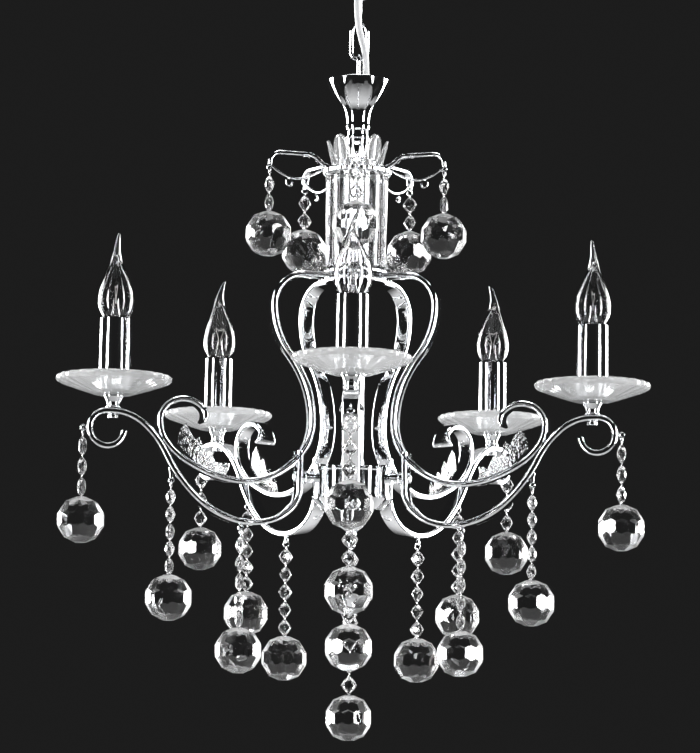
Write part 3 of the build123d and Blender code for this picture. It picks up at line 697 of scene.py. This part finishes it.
def trumpet_cup():
    """Thin spun cup with a rolled rim."""
    lip, half_wall, rim_radius = (27.25, 302.0), 0.75, 0.95
    rows, way = arc_rows([(10.05, 266.0), (15.5, 281.0), lip], (0, 1), 1.3)
    rows.append((Vector(lip), way))
    outside = [spot + Vector((w.y, -w.x)) * half_wall for spot, w in rows]
    inside = [spot - Vector((w.y, -w.x)) * half_wall for spot, w in rows]
    across = Vector((way.y, -way.x))
    rim = [Vector(lip) + turned(across, math.radians(180 * i / 5)) * rim_radius
           for i in range(6)]
    bm = bmesh.new()
    lathe(bm, [Vector(p) for p in ((5.2, 258.0), (10.2, 258.0), (10.8, 258.6), (10.8, 260.0),
                                   (11.2, 260.6), (11.2, 262.0), (10.8, 262.6))]
          + outside + rim + inside[::-1]
          + [Vector(p) for p in ((9.3, 261.4), (8.9, 261.0), (5.2, 261.0))],
          steps=144, flute=cup_flutes, closed=True)
    piece("trumpet_cup_shell", bm, "chandelier", CHROME, ["trumpet_cup"])


# ---------------------------------------------------------------- column
def ring_edge(turn, r, h):
    """Fine gadroons round the rim of a plate."""
    return 0.45 * math.cos(36 * turn) if r > 26 else 0.0


# low end and height of each raised ring on the tube
TUBE_RINGS = ((-36.0, 5.0), (60.0, 3.0), (116.0, 5.0), (230.0, 3.0), (250.0, 4.0))
# bottom, top, radius and bore of each plate
PLATES = ((123.0, 126.0, 26.6, 9.5), (131.0, 134.0, 26.6, 9.7), (219.0, 223.0, 29.6, 9.7))


def column():
    """Centre tube with its raised rings, and the plates with gadrooned rims."""
    tube, raised, nipple = 9.5, 10.3, 5.0
    bm = bmesh.new()
    rings = [(tube, -39.0)]
    for low, tall in TUBE_RINGS:
        rings += [(tube, low), (raised, low + tall * 0.3), (raised, low + tall * 0.7),
                  (tube, low + tall)]
    lathe(bm, softened([(0, -80.0), (4.3, -80.0), (nipple, -79.3), (nipple, -39.0)] + rings
                       + [(tube, 257.4), (8.9, 258.0), (nipple, 258.0), (nipple, 264.5),
                          (0, 264.5)], 0.4),
          steps=48)
    piece("centre_tube_stem", bm, "chandelier", CHROME, ["centre_tube"])
    bm = bmesh.new()
    for low, high, wide, bore in PLATES:
        lathe(bm, eased([(bore, low), (wide, low), (wide, high), (bore, high)], 0.9, 3),
              steps=216, flute=ring_edge, closed=True)
    piece("centre_tube_plates", bm, "chandelier", CHROME, ["centre_tube"])


# height and share of the full size along a rod
ROD_ROWS = ((134.1, 0.62), (136.4, 1.0), (176.0, 1.0), (216.4, 1.0), (218.9, 0.6))


def column_rods():
    """Six-sided rods with ground edges and bevelled ends, a little thinner below."""
    standing, top, top_size, taper = 22.0, 219.0, 6.4, math.tan(math.radians(0.9))
    bm = bmesh.new()
    for k in range(10):
        angle = 36.0 * k
        rings = []
        for height, share in ROD_ROWS:
            size = (top_size - (top - height) * taper) * share
            ring = []
            for i in range(6):
                for side in (-5.5, 5.5):
                    turn = math.radians(60 * i + side)
                    ring.append(at(angle, standing + size * math.cos(turn), height,
                                   size * math.sin(turn)))
            rings.append(ring)
        skin(bm, rings)
    piece("column_rods_cut", bm, "chandelier", CRYSTAL, ["column_rods"], smooth=0)


def blade(bm, rows, ribs=2):
    """Leaf shape along rows of (middle, side way, face way, half width, thickness)."""
    count = 8
    rings = []
    for middle, side, face, half, thick in rows:
        front, back = [], []
        for i in range(count + 1):
            s = 2 * i / count - 1
            lift = thick * (0.4 + 0.6 * (1 - abs(s)) ** 0.8)
            lift -= 0.3 * thick * abs(math.sin(math.pi * ribs * s)) * (1 - abs(s))
            front.append((middle + side * (half * s) + face * lift) * MM)
            back.append((middle + side * (half * s) + face * (0.1 * thick)) * MM)
        rings.append(front + back[::-1])
    skin(bm, rings)


def crown_petals():
    """Five pressed leaves that stand on the top plate and lean outward."""
    length, half_wide, widest, foot = 29.0, 8.5, 0.45, 223.0
    bm = bmesh.new()
    for k in range(5):
        angle = 36.0 + 72.0 * k
        out, side = outward(angle), sideways(angle)
        rows = []
        count = 16
        for i in range(count + 1):
            t = i / count
            lean = math.radians(9 + 11 * t)
            up = Vector((0, 0, math.cos(lean))) + out * math.sin(lean)
            face = out * math.cos(lean) - Vector((0, 0, math.sin(lean)))
            if i == 0:
                middle = out * 19.0 + Vector((0, 0, foot + PEAK))
            else:
                middle = middle + up * (length / count)
            half = half_wide / 2 + half_wide / 2 * math.sin(min(1.0, t / widest) * math.pi / 2)
            if t > widest:
                half = half_wide * math.sqrt(max(0.0, 1 - ((t - widest) / 0.56) ** 2.2))
            rows.append((middle.copy(), side, face, max(half, 0.5), 3.4 * (1 - 0.45 * t)))
        blade(bm, rows)
    piece("crown_petals_cut", bm, "chandelier", PRESSED, ["crown_petals"], smooth=28)


SCROLL_LEAF = [(112, -53), (117, -39), (121, -42), (127, -29), (131, -32), (137, -18), (141, -21),
               (149, -7), (154, -12), (157, -25), (133, -46)]
FOOT_LEAF = [(28, 129), (28, 147), (32, 150), (34, 142), (39, 147), (41, 138), (47, 141),
             (48, 134), (55, 133), (57, 126), (46, 129)]


def leaf(bm, angle, outline):
    """Two matching faces of a toothed crystal leaf, with ground edges and a rippled middle."""
    for side in (1, -1):
        corners = outline[::-1] if side > 0 else outline
        points = [bm.verts.new(at(angle, x, h, side * 0.5)) for x, h in corners]
        face = bm.faces.new(points)
        face.normal_update()
        bmesh.ops.inset_region(bm, faces=[face], thickness=0.9 * MM, depth=0.95 * MM,
                               use_even_offset=True)
        for vert in face.verts:
            vert.co += sideways(angle) * random.uniform(-0.4, 0.4) * MM
        bmesh.ops.triangulate(bm, faces=[face])


def stitch(bm):
    """Close the gap between the open edges of matching faces."""
    loose = [edge for edge in bm.edges if len(edge.link_faces) == 1]
    bmesh.ops.bridge_loops(bm, edges=loose)


def arm_leaves():
    """A leaf in each scroll and one at the foot of each lyre."""
    bm = bmesh.new()
    for angle in ARMS:
        for outline in (SCROLL_LEAF, FOOT_LEAF):
            one = bmesh.new()
            leaf(one, angle, outline)
            stitch(one)
            mesh = bpy.data.meshes.new("leaf")
            one.to_mesh(mesh)
            one.free()
            bm.from_mesh(mesh)
            bpy.data.meshes.remove(mesh)
    piece("arm_leaves_cut", bm, "chandelier", LEAF, ["arm_leaves"], smooth=0)


# ---------------------------------------------------------------- top tier
def top_arms():
    """Thin stepped strips that carry the top strands, each with a wire scroll and curl."""
    step, hook_radius = 1.6, TOP_HOOK[0]
    down = Vector((0, -1))
    curl_radius, curl_height, curl_size = 60.5, 212.5, 4.6
    strips, wires = bmesh.new(), bmesh.new()
    for angle in ARMS:
        rise, _ = arc_rows([(24.0, 224.3), (35.0, 229.05), (46.0, 233.8)], (1, 0), step)
        drop, _ = arc_rows([(69.7, 233.8), (hook_radius, 224.0)], (1, 0), step)
        rows = level_rows(15.5, 8.5, 224.3, 3) + rise + level_rows(46.0, 23.7, 233.8, 6) + drop
        rows += [(Vector((hook_radius, 224.0)), down), (Vector((hook_radius, 222.4)), down)]
        ribbon(strips, angle, rows, [(3.0, 1.8)] * len(rows), 1.4)
        hanger(strips, angle, *TOP_HOOK, hook_radius, 223.5)
        lathe(strips, [(0, 225.4), (2.2, 225.4), (1.9, 226.4), (1.0, 227.0), (0, 227.1)],
              angle, 20.0, 20)
        arcs, way = arc_rows([(78.7, 222.6), (curl_radius, curl_height), (43.0, 214.6),
                              (31.6, 221.0)], (-1, -1), step)
        arcs.append((Vector((31.6, 221.0)), way))
        wire(wires, [at(angle, spot.x, spot.y) for spot, _ in arcs], 1.0 * MM, 10)
        curl = [(curl_radius + curl_size * (1 - i / 30) * math.sin(i * 0.24),
                 curl_height - curl_size + curl_size * (1 - i / 30) * math.cos(i * 0.24))
                for i in range(24)]
        wire(wires, [at(angle, x, h) for x, h in curl], 0.8 * MM, 8)
    piece("top_arms_strips", strips, "chandelier", CHROME, ["top_arms"])
    piece("top_arms_wires", wires, "chandelier", CHROME, ["top_arms"])


# ---------------------------------------------------------------- hub
def panel(turn, r, h):
    """Twenty hollow-ground panels round the drum."""
    count, core = 20, 20
    if r < core:
        return 0.0
    half = math.pi / count
    local = turn % (2 * half) - half
    return r * (math.cos(half) / math.cos(local) - 1) - 0.7 * (1 - (local / half) ** 2)


def hub():
    """Panelled drum with the arms' brackets, and the finial with the lowest strand's lug."""
    bm = bmesh.new()
    lathe(bm, eased([(5.2, -39.0), (35.0, -39.0), (35.0, -41.5), (34.2, -42.5), (34.2, -63.0),
                     (35.0, -64.0), (35.0, -66.0), (26.0, -75.0), (5.2, -75.0)], 0.5),
          steps=160, flute=panel, closed=True)
    piece("hub_drum_body", bm, "chandelier", CHROME, ["hub_drum"], smooth=14)
    bm = bmesh.new()
    for angle in ARMS:
        spots = [(30.0, 4.5), (40.0, 4.5), (40.6, 5.6), (42.6, 5.6), (43.2, 4.5), (45.8, 4.5)]
        wire(bm, [at(angle, x, -48.0) for x, _ in spots], [r * MM for _, r in spots], 24)
    piece("hub_drum_brackets", bm, "chandelier", CHROME, ["hub_drum"])
    bm = bmesh.new()
    arcs, _ = arc_rows([(17.0, -78.0), (4.0, -94.0)], (-0.3, -1), 1.2)
    lathe(bm, softened([(0, -81.0), (5.2, -81.0), (5.2, -75.1), (16.4, -75.1), (17.0, -75.7),
                        (17.0, -77.6)], 0.3) + [spot for spot, _ in arcs]
          + [Vector(p) for p in ((4.2, -94.2), (4.9, -94.8), (4.9, -95.8), (4.2, -96.4),
                                 (3.6, -97.6), (2.4, -98.0), (0, -98.0))])
    hanger(bm, 0.0, *BOTTOM_HOOK, 0.0, -97.0)
    piece("hub_finial_turned", bm, "chandelier", CHROME, ["hub_finial"])


# ---------------------------------------------------------------- candles
# height, radius and sideways bend along the lamp's glass, and the bend's turn for each lamp
FLAME = [(78.6, 10.6, 0.0), (86.0, 14.7, 0.0), (95.0, 16.0, 0.0), (106.0, 14.2, 0.0),
         (117.0, 9.8, -0.8), (127.0, 5.6, -1.8), (137.0, 3.0, -0.8), (145.0, 1.9, 2.2),
         (151.0, 1.0, 5.2)]
FLAME_TURN = [0.0, 180.0, 20.0, 160.0, 0.0]


def eased_rows(rows, steps=4):
    """Rows joined by a smooth curve through them."""
    made = []
    for i in range(len(rows) - 1):
        a, b, c, d = (Vector(rows[max(0, min(len(rows) - 1, i + k))]) for k in (-1, 0, 1, 2))
        for k in range(steps):
            t = k / steps
            made.append(0.5 * (2 * b + (c - a) * t + (2 * a - 5 * b + 4 * c - d) * t ** 2
                               + (3 * b - a - 3 * c + d) * t ** 3))
    made.append(Vector(rows[-1]))
    return made


def flame_ring(angle, bend_way, height, radius, bend, steps=32):
    """One level ring of the lamp's glass."""
    centre = at(angle, CANDLE, height) + bend_way * bend * MM
    return [centre + Vector((math.cos(t), math.sin(t), 0)) * radius * MM
            for t in (2 * math.pi * k / steps for k in range(steps))]


def flame_lamp(number, angle):
    """Hollow bent-tip glass on a threaded cap, with its stem and filament."""
    name = f"lamp_{number}"
    wall, wall_top = 0.9, 118.0
    thread_count, thread_low, thread_pitch = 14, 54.2, 1.35
    turn = math.radians(FLAME_TURN[number - 1])
    bend_way = sideways(angle) * math.cos(turn) + outward(angle) * math.sin(turn)
    rows = eased_rows(FLAME)
    inner = [(row[0] + 0.3, row[1] - wall, row[2]) for row in rows if row[0] <= wall_top]
    inner += [(121.0, 6.9, -1.1), (125.0, 5.0, -1.5), (129.0, 3.0, -1.7),
              (132.0, 1.4, -1.4), (133.5, 0.3, -1.2)]
    outer = [tuple(row) for row in rows] + [(151.9, 0.45, 5.7)]
    bm = bmesh.new()
    skin(bm, [flame_ring(angle, bend_way, *row) for row in inner[::-1] + outer])
    piece(name + "_glass", bm, name, LAMP, [name])
    bm = bmesh.new()
    lathe(bm, softened([(0, 78.2), (8.8, 78.2), (8.8, 79.2), (4.4, 81.0), (2.6, 88.0), (2.2, 94.5),
                        (2.6, 96.0), (0, 96.6)], 0.8), angle, CANDLE, 28)
    piece(name + "_stem", bm, name, LAMP, [name])
    bm = bmesh.new()
    threads = []
    for i in range(thread_count):
        height = thread_low + thread_pitch * i
        threads += [(6.55, height), (6.9, height + 0.68)]
    lathe(bm, [(0, 50.0), (2.3, 50.0), (2.6, 50.8), (5.4, 53.2), (6.4, 53.8)] + threads
          + [(6.9, 75.0), (7.4, 75.6), (10.4, 76.0), (10.6, 76.4), (10.6, 78.0),
             (10.0, 78.3), (0, 78.3)],
          angle, CANDLE, 40)
    piece(name + "_cap", bm, name, SATIN, [name])
    bm = bmesh.new()
    for side in (-1, 1):
        wire(bm, [at(angle, CANDLE, h, side * x) for x, h in
                  ((0.9, 92.0), (1.0, 97.0), (2.2, 100.5), (3.6, 104.0), (4.4, 107.5))],
             0.28 * MM, 6)
    coil = []
    for i in range(49):
        t = i / 48
        turn = 2 * math.pi * 12 * t
        coil.append(at(angle, CANDLE + 0.45 * math.cos(turn),
                       107.4 + 0.45 * math.sin(turn) - 1.6 * math.sin(math.pi * t),
                       -4.4 + 8.8 * t))
    wire(bm, coil, 0.14 * MM, 5)
    piece(name + "_filament", bm, name, FILAMENT, [name])


def dish_ribs(turn, r, h):
    """Moulded rays that grow towards the rim."""
    grow = min(1.0, max(0.0, (r - 19.0) / 22.0))
    return 0.55 * grow * math.cos(24 * turn)


def candle(number, angle):
    """Glass dish, sleeve and lamp of one arm."""
    bm = bmesh.new()
    lathe(bm, eased([(5.3, 14.0), (16.5, 14.0), (30.0, 18.4), (46.8, 24.4), (48.7, 26.4),
                     (48.9, 28.6), (47.3, 30.2), (31.0, 24.2), (18.5, 19.5), (5.3, 19.5)],
                    1.0, 3),
          angle, CANDLE, 192, dish_ribs, True)
    piece(f"glass_dish_{number}_moulded", bm, "chandelier", DISH,
          [f"glass_dish_{number}"], smooth=50)
    bm = bmesh.new()
    lathe(bm, eased([(12.3, 19.6), (13.5, 19.6), (13.5, 79.0), (12.3, 79.0)], 0.5, 2),
          angle, CANDLE, 64, None, True)
    piece(f"candle_sleeve_{number}_tube", bm, "chandelier", SLEEVE,
          [f"candle_sleeve_{number}"])
    flame_lamp(number, angle)


def candle_sockets():
    """Turned boss under each dish and the lamp holder inside each sleeve."""
    bm = bmesh.new()
    for angle in ARMS:
        lathe(bm, softened([
            (0, -6.1), (4.1, -6.1), (4.5, -5.6), (4.5, -3.2), (2.9, -3.1), (2.9, 2.7), (6.2, 2.8),
            (6.6, 3.8), (5.2, 4.6), (5.9, 7.6), (7.9, 11.4), (8.4, 12.2), (8.4, 13.7), (5.0, 13.7),
            (5.0, 23.1), (0, 23.1)], 0.4), angle, CANDLE, 40)
    piece("candle_bosses", bm, "chandelier", CHROME, ["candle_sockets"])
    bm = bmesh.new()
    for angle in ARMS:
        lathe(bm, eased([(5.2, 19.9), (11.0, 19.9), (11.0, 74.0), (7.2, 74.0), (7.2, 46.0),
                         (5.2, 46.0)], 0.5), angle, CANDLE, 48, None, True)
    piece("candle_holders", bm, "chandelier", SATIN, ["candle_sockets"])


suspension()
trumpet_cup()
column()
column_rods()
crown_petals()
arm_leaves()
top_arms()
hub()
candle_sockets()
for number, arm in enumerate(ARMS, 1):
    candle(number, arm)


# ---------------------------------------------------------------- studio
AIM = Vector((0, 0, -0.4))
FLOOR_RADIUS, FLOOR_DROP = 1500, -0.75


def add_light(name, place, size, power):
    """Soft box that points at the middle of the chandelier."""
    data = bpy.data.lights.new(name, "AREA")
    data.shape = "RECTANGLE"
    data.size, data.size_y = size
    data.energy = power
    light = bpy.data.objects.new(name, data)
    facing = (AIM - Vector(place)).to_track_quat("-Z", "Y").to_matrix().to_4x4()
    light.matrix_world = Matrix.Translation(place) @ facing
    light.visible_camera = False
    data.spread = math.radians(64)
    bpy.context.scene.collection.objects.link(light)


def add_floor():
    """Plain pale disc below the lowest ball."""
    nodes = Nodes("studio_floor")
    pale = [(0.3, (0.78, 0.78, 0.78)), (0.7, (0.8, 0.8, 0.8))]
    nodes.join(nodes.ramp(nodes.noise(1.5, 2.0), pale), nodes.shader.inputs["Base Color"])
    nodes.set(roughness=0.75)
    bm = bmesh.new()
    lathe(bm, [(0, 0), (FLOOR_RADIUS, 0)], steps=64)
    mesh = bpy.data.meshes.new("studio_floor")
    bmesh.ops.translate(bm, verts=bm.verts, vec=(0, 0, FLOOR_DROP))
    bm.to_mesh(mesh)
    bm.free()
    mesh.materials.append(nodes.material)
    floor = bpy.data.objects.new("studio_floor", mesh)
    bpy.context.scene.collection.objects.link(floor)


def add_world(colour):
    world = bpy.data.worlds.new("studio")
    world.use_nodes = True
    world.node_tree.nodes["Background"].inputs["Color"].default_value = (*colour, 1)
    world.node_tree.nodes["Background"].inputs["Strength"].default_value = 1.0
    bpy.context.scene.world = world


add_floor()
add_world((0.012, 0.012, 0.012))
for side in (-1, 1):
    name = "left" if side < 0 else "right"
    add_light(f"soft_{name}_back", (1.6 * side, 0.85, -0.35), (0.75, 2.0), 17)
    add_light(f"soft_{name}_front", (1.6 * side, -1.25, -0.35), (0.35, 2.0), 7)
add_light("soft_top", (0, 0.1, 1.5), (1.0, 1.0), 5)
bpy.context.scene.view_settings.view_transform = "Standard"

# ---------------------------------------------------------------- CAD node kept
for slot in bpy.data.objects["ceiling_hook"].material_slots:
    slot.material = CHROME
